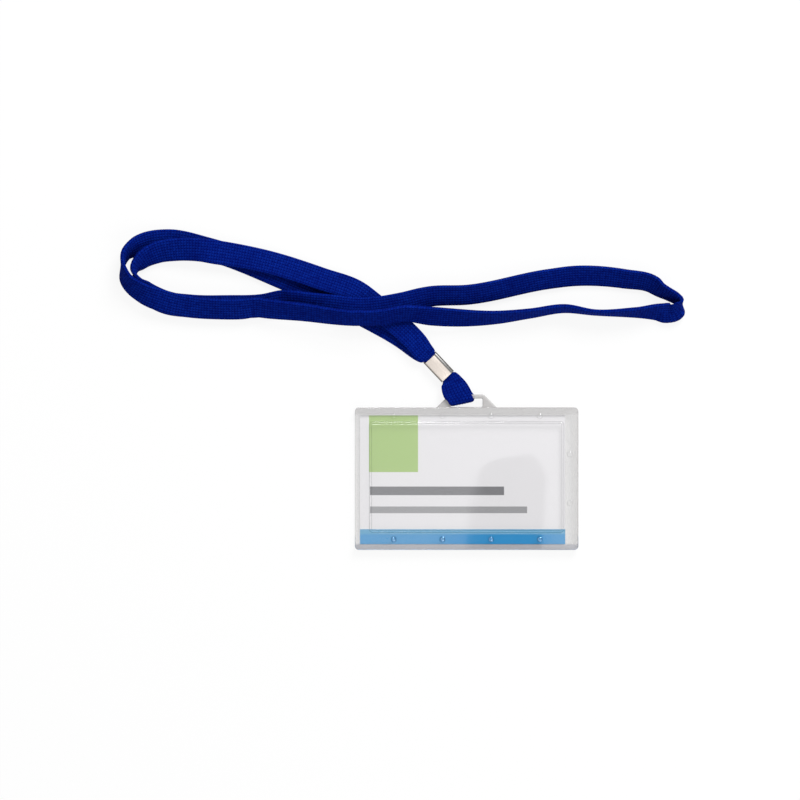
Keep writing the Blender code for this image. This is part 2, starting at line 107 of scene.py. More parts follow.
# Neck strap: x and y from the lug's bar and height above the table in millimetres, then the
# roll about the ribbon's run in degrees, then the share of its width that the ribbon keeps
STRAP_ROUTE = [
    (-18.0, 18.7, 3.2, 180, 0.90),
    (-20.7, 22.2, 3.4, 180, 0.96),
    (-26.0, 27.6, 3.3, 182, 0.99),
    (-39.2, 38.6, 3.2, 185, 1.02),
    (-44.8, 43.0, 3.2, 188, 1.00),
    (-60.2, 48.8, 3.0, 190, 1.00),
    (-85.2, 56.5, 3.2, 185, 1.00),
    (-104.5, 60.0, 3.6, 180, 1.04),
    (-110.5, 60.8, 4.7, 167, 1.00),
    (-121.0, 61.0, 4.2, 161, 1.00),
    (-128.7, 59.8, 3.9, 151, 1.00),
    (-134.8, 56.6, 4.6, 131, 0.98),
    (-137.8, 52.6, 5.0, 103, 0.98),
    (-137.3, 48.9, 4.7, 68, 0.98),
    (-134.6, 45.0, 3.3, 34, 0.96),
    (-125.2, 39.2, 1.5, 6, 1.00),
    (-115.2, 37.7, 1.1, 0, 1.00),
    (-99.4, 37.4, 1.1, 0, 1.00),
    (-84.0, 38.0, 1.5, 3, 1.00),
    (-76.6, 39.5, 2.7, 12, 1.00),
    (-72.5, 39.7, 3.8, 28, 0.98),
    (-66.0, 39.0, 4.4, 30, 0.98),
    (-57.0, 37.8, 5.0, 18, 0.98),
    (-45.2, 36.4, 5.7, 4, 0.96),
    (-26.0, 38.8, 5.9, 10, 0.96),
    (-16.0, 41.4, 4.9, 30, 0.98),
    (0.6, 42.3, 3.9, 34, 0.98),
    (34.0, 48.8, 3.8, 34, 0.98),
    (44.8, 50.1, 3.5, 32, 0.98),
    (65.6, 48.9, 3.9, 38, 0.98),
    (77.6, 46.4, 4.3, 46, 0.98),
    (80.3, 44.4, 4.7, 57, 0.98),
    (82.8, 43.0, 5.1, 63, 0.98),
    (86.9, 40.8, 5.1, 69, 0.98),
    (88.9, 39.6, 5.2, 86, 0.98),
    (88.3, 37.8, 5.2, 112, 0.98),
    (87.2, 35.8, 5.1, 141, 0.98),
    (83.0, 34.7, 4.2, 147, 0.98),
    (79.0, 35.1, 4.2, 131, 0.98),
    (69.8, 34.9, 5.2, 109, 0.98),
    (53.1, 34.9, 5.0, 96, 0.98),
    (40.6, 36.5, 4.9, 104, 0.98),
    (26.5, 34.5, 4.9, 108, 0.98),
    (12.0, 32.8, 5.1, 119, 0.98),
    (-14.4, 33.3, 6.6, 141, 0.96),
    (-26.0, 34.4, 8.2, 134, 0.90),
    (-36.0, 32.8, 9.0, 135, 0.86),
    (-46.0, 32.5, 8.9, 135, 0.86),
    (-69.4, 35.1, 6.8, 141, 0.92),
    (-82.7, 36.4, 5.8, 146, 0.95),
    (-87.7, 37.0, 5.5, 146, 0.97),
    (-93.5, 36.3, 5.3, 150, 0.97),
    (-100.6, 36.2, 5.3, 150, 0.97),
    (-126.5, 39.8, 5.4, 160, 1.00),
    (-133.8, 42.6, 6.4, 147, 1.00),
    (-141.9, 49.7, 6.6, 118, 1.00),
    (-142.7, 54.9, 5.6, 92, 1.00),
    (-141.2, 59.5, 4.9, 68, 1.00),
    (-137.4, 62.3, 3.6, 42, 1.00),
    (-124.4, 64.8, 1.6, 8, 1.00),
    (-107.7, 61.4, 1.2, 0, 1.00),
    (-74.8, 48.7, 1.1, 0, 1.00),
    (-42.7, 33.8, 1.1, 0, 1.00),
    (-23.4, 22.4, 1.1, 0, 1.00),
    (-18.6, 18.5, 1.2, 0, 0.90),
]

# End loop: a leg's points from the crimp down to the fold under the bar. x and y from the
# bar in millimetres, the turn of the ribbon's width in degrees, and the share of its width
LOOP_LEG = [
    (-6.6, 5.9, 26, 0.89),
    (-5.1, 2.9, 20, 1.08),
    (-3.9, 0.5, 15, 1.12),
]
FOLD_WIDTH = 9.0 * MM
FOLD_SPREAD = 1.4 * MM
FOLD_TURN = math.radians(12)
FOLD_SEAT = -2.65 * MM
FOLD_SLACK = 1.05 * MM
FOLD_STEPS = 8
LOOP_PUFF = 0.5 * MM
REAR_LEG_SHIFT = 0.9 * MM


class Value:
    """A number that changes over a surface: operators on it add Math nodes."""

    def __init__(self, finish, socket):
        self.finish = finish
        self.socket = socket

    def math(self, operation, *others):
        sockets = dict(enumerate([self, *others]))
        node = self.finish.node("ShaderNodeMath", {"operation": operation}, sockets)
        return Value(self.finish, node.outputs[0])

    def reflected(self, operation, other):
        node = self.finish.node("ShaderNodeMath", {"operation": operation}, {0: other, 1: self})
        return Value(self.finish, node.outputs[0])

    def __add__(self, other):
        return self.math("ADD", other)

    def __sub__(self, other):
        return self.math("SUBTRACT", other)

    def __mul__(self, other):
        return self.math("MULTIPLY", other)

    def __pow__(self, other):
        return self.math("POWER", other)

    def __radd__(self, other):
        return self.reflected("ADD", other)

    def __rsub__(self, other):
        return self.reflected("SUBTRACT", other)

    def __rmul__(self, other):
        return self.reflected("MULTIPLY", other)

    def ease(self, low, high):
        """0 at low and 1 at high, with a smooth step between; low may be the larger."""
        settings = {"interpolation_type": "SMOOTHSTEP"}
        sockets = {"Value": self, "From Min": low, "From Max": high}
        node = self.finish.node("ShaderNodeMapRange", settings, sockets)
        return Value(self.finish, node.outputs[0])

    def between(self, low, high, soft):
        """1 between two limits, with soft edges."""
        return self.ease(low - soft, low + soft) * self.ease(high + soft, high - soft)


class Shading:
    """A shader node tree: node() adds a node, with its settings and its sockets' values."""

    def __init__(self, tree):
        self.tree = tree

    def node(self, kind, settings=None, sockets=None):
        node = self.tree.nodes.new(kind)
        for key, value in (settings or {}).items():
            setattr(node, key, value)
        self.fill(node, sockets or {})
        return node

    def fill(self, node, sockets):
        for key, value in sockets.items():
            if isinstance(value, Value):
                self.tree.links.new(value.socket, node.inputs[key])
            elif isinstance(value, bpy.types.NodeSocket):
                self.tree.links.new(value, node.inputs[key])
            else:
                node.inputs[key].default_value = value

    def split(self, vector):
        """The three parts of a vector."""
        parts = self.node("ShaderNodeSeparateXYZ", None, {0: vector}).outputs
        return [Value(self, parts[i]) for i in range(3)]

    def ray(self, kind):
        """1 for light paths of one kind, such as Camera or Glossy."""
        return Value(self, self.node("ShaderNodeLightPath").outputs[f"Is {kind} Ray"])


class Finish(Shading):
    """One node material: set() feeds its surface shader."""

    def __init__(self, name, colour, roughness, metallic=0.0, **constants):
        self.material = bpy.data.materials.new(name)
        self.material.use_nodes = True
        super().__init__(self.material.node_tree)
        self.shader = self.tree.nodes["Principled BSDF"]
        self.set({"Base Color": (*colour, 1), "Roughness": roughness, "Metallic": metallic})
        self.set({key.replace("_", " "): value for key, value in constants.items()})

    def set(self, sockets):
        self.fill(self.shader, sockets)

    def place(self):
        """The surface point's x, y and z in the part's frame, in millimetres."""
        where = self.node("ShaderNodeTexCoord").outputs["Object"]
        return [part * (1 / MM) for part in self.split(where)]

    def noise(self, scale, detail=2.0, vector=None):
        where = vector or self.node("ShaderNodeTexCoord").outputs["Object"]
        node = self.node("ShaderNodeTexNoise", None, {"Vector": where, "Scale": scale, "Detail": detail})
        return Value(self, node.outputs[0])

    def slope(self):
        """0 on a level face, rising to 1 on an upright one."""
        upward = self.split(self.node("ShaderNodeTexCoord").outputs["Normal"])[2]
        return 1.0 - upward.math("ABSOLUTE")

    def blend(self, share, low, high):
        """A colour between two colours or colour sockets, by a share from 0 to 1."""
        ends = [end if isinstance(end, bpy.types.NodeSocket) else (*end, 1) for end in (low, high)]
        node = self.node("ShaderNodeMix", {"data_type": "RGBA"}, {0: share, 6: ends[0], 7: ends[1]})
        return node.outputs[2]

    def bump(self, height, depth, strength=1.0):
        sockets = {"Height": height, "Distance": depth, "Strength": strength}
        node = self.node("ShaderNodeBump", None, sockets)
        self.set({"Normal": node.outputs[0]})


def smooth_rows(rows, spacing):
    """Evenly spaced rows on a smooth curve through the given rows.

    The columns after x, y and z never overshoot their rows.
    """
    rows = np.array(rows, float)
    lengths = np.linalg.norm(np.diff(rows[:, :3], axis=0), axis=1)
    chords = np.diff(rows, axis=0) / lengths[:, None]
    before, after = chords[:-1], chords[1:]
    back, ahead = lengths[:-1, None], lengths[1:, None]
    same_way = before * after > 0
    inner = np.where(same_way, 2 * before * after / np.where(same_way, before + after, 1), 0)
    inner[:, :3] = ((after * back + before * ahead) / (back + ahead))[:, :3]
    slopes = np.vstack([chords[:1], inner, chords[-1:]])
    fine = []
    for i, length in enumerate(lengths):
        steps = max(2, round(FINE_STEPS * length / spacing))
        t = (np.arange(steps) / steps)[:, None]
        start = (2 * t**3 - 3 * t**2 + 1) * rows[i] + (t**3 - 2 * t**2 + t) * length * slopes[i]
        end = (3 * t**2 - 2 * t**3) * rows[i + 1] + (t**3 - t**2) * length * slopes[i + 1]
        fine.append(start + end)
    fine = np.vstack([*fine, rows[-1:]])
    run = np.concatenate([[0], np.cumsum(np.linalg.norm(np.diff(fine[:, :3], axis=0), axis=1))])
    even = np.linspace(0, run[-1], round(run[-1] / spacing) + 1)
    return np.column_stack([np.interp(even, run, column) for column in fine.T])


def unit(vectors):
    return vectors / np.linalg.norm(vectors, axis=1, keepdims=True)


def ribbon_ring():
    """The ribbon's section: each point's place across, way out, rib height and rib count."""
    ribs = np.arange(RIBS * RIB_STEPS + 1) / RIB_STEPS
    turns = np.arange(1, EDGE_RIBS * EDGE_STEPS) / EDGE_STEPS
    edge = np.pi * turns / EDGE_RIBS
    across = np.concatenate([1 - 2 * ribs / RIBS, -1 - 0 * edge, 2 * ribs / RIBS - 1, 1 + 0 * edge])
    out_across = np.concatenate([0 * ribs, -np.sin(edge), 0 * ribs, np.sin(edge)])
    out_through = np.concatenate([0 * ribs + 1, np.cos(edge), 0 * ribs - 1, -np.cos(edge)])
    side = RIBS + EDGE_RIBS
    count = np.concatenate([ribs, RIBS + turns, side + ribs, side + RIBS + turns])
    rise = np.abs(np.sin(np.pi * count)) ** RIB_FULLNESS
    return across, out_across, out_through, rise, np.append(count, 2 * side)


def ribbon(name, places, across_ways, face_ways, widths, thicks, finish):
    """A ribbed knit ribbon through stations, with a UV map of ribs across and stitches along."""
    across, out_across, out_through, rise, count = ribbon_ring()
    half = thicks[:, None] / 2
    flat = widths[:, None] / 2 - half * EDGE_ROUNDING
    crown = 1 - CROWN * across**2
    along = np.concatenate([[0], np.cumsum(np.linalg.norm(np.diff(places, axis=0), axis=1))]) / STITCH
    stitch = np.abs(np.sin(np.pi * along))[:, None]
    relief = RIB_RISE * rise * (1 - STITCH_DIP + STITCH_DIP * stitch)
    sideways = flat * across + (half * EDGE_ROUNDING + relief) * out_across
    outward = (half * crown + relief) * out_through
    verts = places[:, None] + sideways[..., None] * across_ways[:, None]
    verts = verts + outward[..., None] * face_ways[:, None]
    stations, ring = len(places), len(across)
    faces = []
    uvs = []
    for i in range(stations - 1):
        for j in range(ring):
            k = (j + 1) % ring
            faces.append((i * ring + j, i * ring + k, (i + 1) * ring + k, (i + 1) * ring + j))
            uvs += [(count[j], along[i]), (count[j + 1], along[i])]
            uvs += [(count[j + 1], along[i + 1]), (count[j], along[i + 1])]
    for station in (0, stations - 1):
        faces.append(tuple(station * ring + j for j in range(ring)))
        uvs += [(count[j], along[station]) for j in range(ring)]
    mesh = bpy.data.meshes.new(name)
    mesh.from_pydata(verts.reshape(-1, 3).tolist(), [], faces)
    mesh.uv_layers.new(name="knit").data.foreach_set("uv", np.array(uvs, np.float32).ravel())
    face_out(mesh)
    mesh.shade_smooth()
    return piece(name, mesh, finish)


def face_out(mesh):
    """Turn every face of a closed mesh outwards."""
    shell = bmesh.new()
    shell.from_mesh(mesh)
    bmesh.ops.recalc_face_normals(shell, faces=shell.faces)
    shell.to_mesh(mesh)
    shell.free()


def piece(name, mesh, finish):
    """A finished piece: a mesh in its place, with one material."""
    mesh.materials.clear()
    mesh.materials.append(finish.material)
    thing = bpy.data.objects.new(name, mesh)
    bpy.context.scene.collection.objects.link(thing)
    return thing


def crimp_place(along, height):
    """Point on the crimp's middle line, a distance up from its lower mouth."""
    return CRIMP_MOUTH + along * CRIMP_RUN + Vector((0, 0, height))


def neck_strap(finish):
    """The neck loop's ribbon, from the crimp's front layer round to its rear layer."""

    def pressed_end(layer, roll):
        mouth = CRIMP_LENGTH - CRIMP_SLANT * (layer - PRESSED_THICK / 2) / CRIMP_RISE
        return [
            (*crimp_place(CRIMP_LENGTH / 2 + HALF_GAP, layer), roll, PRESSED_WIDTH, PRESSED_THICK),
            (*crimp_place(mouth, layer), roll, PRESSED_WIDTH, PRESSED_THICK),
            (*crimp_place(mouth + COLLAR, layer), roll, CRIMP_WIDTH, PRESSED_THICK),
        ]

    rows = pressed_end(FRONT_LAYER, math.pi)
    for x, y, z, roll, share in STRAP_ROUTE:
        place = (x * MM, BAR_Y + y * MM, z * MM)
        rows.append((*place, math.radians(roll), share * RIBBON_WIDTH, RIBBON_THICK))
    rows += reversed(pressed_end(REAR_LAYER, 0))
    stations = smooth_rows(rows, STATION)
    places = stations[:, :3]
    run = unit(np.gradient(places, axis=0))
    level = unit(np.column_stack([-run[:, 1], run[:, 0], 0 * run[:, 0]]))
    upward = np.cross(run, level)
    roll = stations[:, 3:4]
    across = np.cos(roll) * level + np.sin(roll) * upward
    faces = np.cross(run, across)
    strap = ribbon("neck_ribbon", places, across, faces, stations[:, 4], stations[:, 5], finish)
    return strap, places


def end_loop(finish):
    """The ribbon's tail: down from the crimp, through the slot under the bar, and back up."""
    crimp_turn = CRIMP_ANGLE - math.pi / 2
    seat = Vector((FOLD_SEAT, BAR_Y - FOLD_SLACK, BAR_Z))
    downward = Vector((math.sin(FOLD_TURN), -math.cos(FOLD_TURN), 0))
    reach = CRIMP_MOUTH.y - BAR_Y + FOLD_SLACK

    def leg(layer, side, shift, puff):
        rows = [
            (*crimp_place(CRIMP_LENGTH / 2 - HALF_GAP, layer), crimp_turn, PRESSED_WIDTH, PRESSED_THICK),
            (*crimp_place(0, layer), crimp_turn, PRESSED_WIDTH, PRESSED_THICK),
            (*crimp_place(-COLLAR, layer), crimp_turn, CRIMP_WIDTH, PRESSED_THICK),
        ]
        for x, y, turn, share in LOOP_LEG:
            part_way = (y * MM + FOLD_SLACK) / reach
            swell = math.sin(math.pi * part_way)
            height = layer * part_way + (BAR_Z + side * LOOP_RADIUS) * (1 - part_way) + puff * swell
            place = (x * MM + shift, BAR_Y + y * MM, height)
            rows.append((*place, math.radians(turn), share * RIBBON_WIDTH, PRESSED_THICK + puff * swell))
        return rows

    rows = leg(FRONT_LAYER, 1, 0, LOOP_PUFF)
    for step in range(FOLD_STEPS + 1):
        angle = math.pi * step / FOLD_STEPS
        around = math.sin(angle) * downward + math.cos(angle) * Vector((0, 0, 1))
        place = seat + LOOP_RADIUS * around + Vector((REAR_LEG_SHIFT * step / FOLD_STEPS, 0, 0))
        width = FOLD_WIDTH + FOLD_SPREAD * abs(math.cos(angle))
        rows.append((*place, FOLD_TURN, width, PRESSED_THICK))
    rows += reversed(leg(REAR_LAYER, -1, REAR_LEG_SHIFT, 0))
    stations = smooth_rows(rows, STATION)
    places = stations[:, :3]
    run = unit(np.gradient(places, axis=0))
    turn = stations[:, 3]
    across = np.column_stack([np.cos(turn), np.sin(turn), 0 * turn])
    faces = unit(np.cross(across, run))
    return ribbon("loop_ribbon", places, across, faces, stations[:, 4], stations[:, 5], finish)


# Holder: its outline comes from the cover's own box
COVER_LOW, COVER_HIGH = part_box("holder_front")
OUTER_CORNER = 1.7 * MM
COVER_THICK = 0.8 * MM
COVER_SHARP = math.radians(32)
LEAST_CORNER = 0.3 * MM
WINDOW_CORNER = 1.6 * MM
WINDOW_MARGIN_TOP = 5.8 * MM
WINDOW_MARGIN_BOTTOM = 7.1 * MM
WINDOW_MARGIN_ENDS = 5.9 * MM
PIP_RADIUS = 1.2 * MM
PIP_RISE = 0.45 * MM
PIP_PITCH = 20.2 * MM
PIP_INSET = 3.6 * MM
LOW_PIP_INSET = 4.4 * MM
PIPS_ALONG = 4
PIPS_ACROSS = 2
PIP_SEGMENTS = 24
PIP_RINGS = 12
CORNER_STEPS = 8

# Cover's section as insets and rises in millimetres: from under the window out to its foot,
# round the outer rim, and back in over the window's bend
UNDER_WINDOW = [
    (2.0, 0.70), (1.5, 0.70), (1.25, 0.68), (1.12, 0.60),
    (0.90, 0.12), (0.80, 0.03), (0.60, 0.0), (0.2, 0.0),
]
RIM = [
    (0.40, 0.0), (0.0, 0.0), (0.0, 0.15), (0.0, 0.55), (0.02, 0.65),
    (0.08, 0.73), (0.16, 0.78), (0.27, 0.80), (0.6, 0.80),
]
OVER_WINDOW = [
    (-0.7, 0.0), (-0.25, 0.0), (-0.08, 0.03), (0.03, 0.12), (0.28, 0.56),
    (0.36, 0.64), (0.48, 0.69), (0.62, 0.70), (1.1, 0.70),
]

# Softened copies of solids
TRAY_EDGE = 0.12 * MM
SOFT_STEPS = 3
SOFT_FROM = math.radians(50)
SHARP_FROM = math.radians(40)
FLAT_WITHIN = math.radians(1)
SAME_POINT = 0.001 * MM


def rounded_outline(low, high, radius):
    """Points of a rectangle with round corners, counter-clockwise."""
    points = []
    corners = [(high[0], high[1]), (low[0], high[1]), (low[0], low[1]), (high[0], low[1])]
    for quarter, (x, y) in enumerate(corners):
        centre_x = x + radius * (1 if quarter in (1, 2) else -1)
        centre_y = y + radius * (1 if quarter in (2, 3) else -1)
        for step in range(CORNER_STEPS + 1):
            angle = math.pi / 2 * (quarter + step / CORNER_STEPS)
            points.append((centre_x + radius * math.cos(angle), centre_y + radius * math.sin(angle)))
    return points


def cover_sheet():
    """The cover's formed sheet, with a rounded rim and soft bends at the raised window."""
    foot = COVER_LOW.z
    face = foot + COVER_THICK
    outer = (COVER_LOW.x, COVER_LOW.y), (COVER_HIGH.x, COVER_HIGH.y)
    window = (
        (COVER_LOW.x + WINDOW_MARGIN_ENDS, COVER_LOW.y + WINDOW_MARGIN_BOTTOM),
        (COVER_HIGH.x - WINDOW_MARGIN_ENDS, COVER_HIGH.y - WINDOW_MARGIN_TOP),
    )

    def loop(rectangle, corner, inset_mm, z):
        inset = inset_mm * MM
        low = [value + inset for value in rectangle[0]]
        high = [value - inset for value in rectangle[1]]
        return [(x, y, z) for x, y in rounded_outline(low, high, max(corner - inset, LEAST_CORNER))]

    loops = [loop(window, WINDOW_CORNER, inset, foot + rise * MM) for inset, rise in UNDER_WINDOW]
    loops += [loop(outer, OUTER_CORNER, inset, foot + rise * MM) for inset, rise in RIM]
    loops += [loop(window, WINDOW_CORNER, inset, face + rise * MM) for inset, rise in OVER_WINDOW]
    return loft("clear_cover", loops)


def loft(name, loops):
    """A closed mesh through loops of equal length, with its first and last loop filled."""
    count = len(loops[0])
    faces = []
    for i in range(len(loops) - 1):
        for j in range(count):
            k = (j + 1) % count
            faces.append((i * count + j, i * count + k, (i + 1) * count + k, (i + 1) * count + j))
    faces.append(tuple(range(count)))
    faces.append(tuple((len(loops) - 1) * count + j for j in range(count)))
    mesh = bpy.data.meshes.new(name)
    mesh.from_pydata([point for loop in loops for point in loop], [], faces)
    face_out(mesh)
    return mesh


class Tree:
    """A Geometry Nodes tree with named inputs for its sizes."""

    def __init__(self, name, sizes):
        self.group = bpy.data.node_groups.new(name, "GeometryNodeTree")
        self.group.interface.new_socket("Geometry", in_out="INPUT", socket_type="NodeSocketGeometry")
        self.group.interface.new_socket("Geometry", in_out="OUTPUT", socket_type="NodeSocketGeometry")
        self.sizes = sizes
        self.keys = {}
        for key, value in sizes.items():
            kind = "NodeSocketInt" if isinstance(value, int) else "NodeSocketFloat"
            socket = self.group.interface.new_socket(key, in_out="INPUT", socket_type=kind)
            self.keys[key] = socket.identifier
        self.given = self.group.nodes.new("NodeGroupInput").outputs

    def node(self, kind, settings=None, sockets=None):
        node = self.group.nodes.new(kind)
        for key, value in (settings or {}).items():
            setattr(node, key, value)
        for key, value in (sockets or {}).items():
            for end in value if isinstance(value, list) else [value]:
                if isinstance(end, bpy.types.NodeSocket):
                    self.group.links.new(end, node.inputs[key])
                else:
                    node.inputs[key].default_value = end
        return node

    def apply(self, mesh, name, material, result):
        """Run the tree on a mesh and return what it makes as a plain mesh."""
        dressed = self.node("GeometryNodeSetMaterial", None, {"Geometry": result, "Material": material})
        self.node("NodeGroupOutput", None, {"Geometry": dressed.outputs[0]})
        carrier = bpy.data.objects.new(name + "_carrier", mesh)
        bpy.context.scene.collection.objects.link(carrier)
        modifier = carrier.modifiers.new(name, "NODES")
        modifier.node_group = self.group
        for key, value in self.sizes.items():
            modifier[self.keys[key]] = value
        evaluated = carrier.evaluated_get(bpy.context.evaluated_depsgraph_get())
        made = bpy.data.meshes.new_from_object(evaluated)
        bpy.data.objects.remove(carrier)
        return made


def cover_with_pips(finish):
    """The cover with its pips: two rows along its edges and one column at its closed end."""
    sheet = cover_sheet()
    middle_y = (COVER_LOW.y + COVER_HIGH.y) / 2
    face = COVER_LOW.z + COVER_THICK
    first_x = -(PIPS_ALONG - 1) / 2 * PIP_PITCH
    first_y = middle_y - (PIPS_ACROSS - 1) / 2 * PIP_PITCH
    tree = Tree("cover_pips", {
        "Pip Radius": PIP_RADIUS, "Pip Rise": PIP_RISE, "Pip Pitch": PIP_PITCH,
        "Along": PIPS_ALONG, "Across": PIPS_ACROSS,
    })
    step_x = tree.node("ShaderNodeCombineXYZ", None, {"X": tree.given["Pip Pitch"]}).outputs[0]
    step_y = tree.node("ShaderNodeCombineXYZ", None, {"Y": tree.given["Pip Pitch"]}).outputs[0]
    rows = []
    for start, count, step in (
        ((first_x, COVER_HIGH.y - PIP_INSET, face), "Along", step_x),
        ((first_x, COVER_LOW.y + LOW_PIP_INSET, face), "Along", step_x),
        ((COVER_HIGH.x - PIP_INSET, first_y, face), "Across", step_y),
    ):
        sockets = {"Count": tree.given[count], "Start Location": start, "Offset": step}
        rows.append(tree.node("GeometryNodeMeshLine", {"mode": "OFFSET"}, sockets).outputs[0])
    places = tree.node("GeometryNodeJoinGeometry", None, {0: rows}).outputs[0]
    sockets = {"Segments": PIP_SEGMENTS, "Rings": PIP_RINGS, "Radius": 1.0}
    ball = tree.node("GeometryNodeMeshUVSphere", None, sockets).outputs[0]
    radius = tree.given["Pip Radius"]
    sockets = {"X": radius, "Y": radius, "Z": tree.given["Pip Rise"]}
    size = tree.node("ShaderNodeCombineXYZ", None, sockets).outputs[0]
    sockets = {"Points": places, "Instance": ball, "Scale": size}
    domes = tree.node("GeometryNodeInstanceOnPoints", None, sockets)
    solid = tree.node("GeometryNodeRealizeInstances", None, {0: domes.outputs[0]}).outputs[0]
    settings = {"operation": "UNION", "solver": "EXACT"}
    joined = tree.node("GeometryNodeMeshBoolean", settings, {"Mesh 2": [tree.given["Geometry"], solid]})
    mesh = tree.apply(sheet, "clear_cover", finish.material, joined.outputs[0])
    mesh.shade_smooth()
    mesh.set_sharp_from_angle(angle=COVER_SHARP)
    return piece("clear_cover", mesh, finish)


def soft_copy(node, name, edge, finish):
    """A rigid piece with the solid's own shape and softened edges."""
    shell = bmesh.new()
    shell.from_mesh(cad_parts[node].data)
    bmesh.ops.remove_doubles(shell, verts=shell.verts, dist=SAME_POINT)
    bmesh.ops.dissolve_limit(shell, angle_limit=FLAT_WITHIN, verts=shell.verts, edges=shell.edges)
    mesh = bpy.data.meshes.new(name)
    shell.to_mesh(mesh)
    shell.free()
    thing = piece(name, mesh, finish)
    bevel = thing.modifiers.new("soft_edges", "BEVEL")
    bevel.width = edge
    bevel.segments = SOFT_STEPS
    bevel.limit_method = "ANGLE"
    bevel.angle_limit = SOFT_FROM
    evaluated = thing.evaluated_get(bpy.context.evaluated_depsgraph_get())
    made = bpy.data.meshes.new_from_object(evaluated)
    thing.modifiers.clear()
    thing.data = made
    made.shade_smooth()
    made.set_sharp_from_angle(angle=SHARP_FROM)
    return thing


# Places on the holder and the card where a finish or its painted shade changes, in millimetres.
# A pair is a step from none to all of it, a print has its ends along and up the card, and the
# band's deeper middle has its ends and their softness. The cover bows round one place
FOOT_WALL = (-29.6, -30.6)
END_WALL = (43.9, 44.6)
TOP_WALL = (23.7, 24.2)
LUG = (26.4, 26.9)
LOW_PIPS = (-26.2, -26.8)
BOW_CENTRE = (14.0, -4.0)
GREEN_BLOCK = (-40.6, -20.2, 0.0, 30.0)
LONG_BAR = (-40.2, 15.6, -9.6, -6.0)
THIN_BAR = (-40.2, 25.2, -17.1, -14.3)
BAND_TOP = -23.75
BAND_UPPER = (-26.4, -25.3)
BAND_DEEP = (-10.0, 34.0, 8.0)
CARD_FACE = (1.9, 1.98)
PRINT_EDGE = 0.06


def knit_finish():
    """Royal blue flat knit: ribs along the ribbon, each a row of short V-shaped stitches."""
    knit = Finish("royal_blue_knit", (0.002, 0.012, 0.16), 0.85, Specular_IOR_Level=0.02)
    across, along, _ = knit.split(knit.node("ShaderNodeUVMap", {"uv_map": "knit"}).outputs[0])
    rib = (across * math.pi).math("SINE").math("ABSOLUTE")
    leg = (across * math.tau).math("SINE").math("ABSOLUTE")
    lean = (across.math("FRACT") - 0.5).math("ABSOLUTE")
    stitch = ((along + 1.2 * lean) * math.pi).math("SINE").math("ABSOLUTE")
    height = (0.6 * rib ** 0.6 + 0.4 * leg ** 0.5) * (0.35 + 0.65 * stitch)
    uneven = knit.noise(70.0, 3.0)
    speck = knit.noise(750.0, 1.0)
    fuzz = knit.noise(2600.0, 2.0)
    # Colour by stitch height is painted shade in the grooves and painted light on the stitch tops, over
    # a random unevenness of tone
    light = height.ease(0.1, 1.0) * (0.45 + 0.7 * uneven) * (0.1 + 1.8 * speck) + 0.25 * fuzz - 0.1
    painted_groove_shade = (0.0, 0.0006, 0.076)
    painted_stitch_light = (0.0019, 0.0198, 0.25)
    knit.set({"Base Color": knit.blend(light, painted_groove_shade, painted_stitch_light)})
    knit.set({"Roughness": 0.92 - 0.15 * height})
    knit.bump(height + 0.2 * fuzz, 0.09 * MM, 0.8)
    return knit


def crimp_finish():
    """Bright plated strip, drawn along its length, with painted shade: dimmer towards its lapped seam,
    dark grey past it and dark on its sloping sides.
    """
    metal = Finish("bright_crimp", (0.72, 0.67, 0.61), 0.25, 1.0)
    x, y, z = metal.place()
    along = x * CRIMP_RUN.x + y * CRIMP_RUN.y
    across = x * CRIMP_ACROSS.x + y * CRIMP_ACROSS.y
    stretched = {0: across * 9.0, 1: along * 0.35, 2: z * 9.0}
    drawn = metal.node("ShaderNodeCombineXYZ", None, stretched).outputs[0]
    streak = metal.noise(1.0, 3.0, drawn)
    dull = metal.noise(700.0, 2.0)
    metal.set({"Roughness": 0.30 + 0.08 * streak + 0.08 * dull})
    face = metal.blend(streak, (0.74, 0.665, 0.60), (0.86, 0.78, 0.715))
    past_seam = across - (CRIMP_MOUTH.dot(CRIMP_ACROSS) + CRIMP_SEAM) / MM
    # Painted shade: the face dims towards the lapped seam, and past the seam the metal is painted dark
    # grey
    face = metal.blend(0.7 * past_seam.ease(-1.6, -0.2), face, (0.64, 0.58, 0.53))
    face = metal.blend(past_seam.ease(-0.1, 0.3), face, (0.18, 0.178, 0.175))
    # Painted shade: the sloping sides are painted dark
    side = (0.17, 0.155, 0.135)
    metal.set({"Base Color": metal.blend(metal.slope().ease(0.08, 0.5), face, side)})
    metal.bump(streak, 0.006 * MM, 0.5)
    return metal


def tray_finish():
    """Lightly frosted clear plastic, greyer at the walls and slanted faces with painted shade where
    light runs out through them, with a bluish painted shade along the foot and the end loop's painted
    shadow partly on the lug.
    """
    tray = Finish("frosted_tray", (0.50, 0.49, 0.48), 0.32)
    x, y, _ = tray.place()
    grain = tray.noise(1400.0, 2.0)
    foot = y.ease(*FOOT_WALL)
    # The lug is clouded more: partly its denser frosting, partly the end loop's painted shadow
    lug_frost_and_shadow = y.ease(*LUG)
    top = y.ease(*TOP_WALL)
    # Painted shade at the walls, where light runs out through them
    painted_wall_shade = foot.math("MAXIMUM", x.ease(*END_WALL)).math("MAXIMUM", top)
    # Painted shade along the foot: darker, bluish and more clouded
    tray.set({"Base Color": tray.blend(foot, (0.51, 0.495, 0.49), (0.40, 0.40, 0.44))})
    cloud_and_painted_shade = 0.22 + 0.13 * painted_wall_shade + 0.20 * foot + 0.26 * lug_frost_and_shadow + 0.05 * top + 0.04 * grain
    # Slanted faces are clouded more: painted shade for light bent away at them
    tray.set({"Alpha": cloud_and_painted_shade + 0.25 * tray.slope().ease(0.2, 0.9)})
    tray.set({"Roughness": 0.26 + 0.12 * grain})
    tray.bump(grain, 0.004 * MM, 0.4)
    return tray


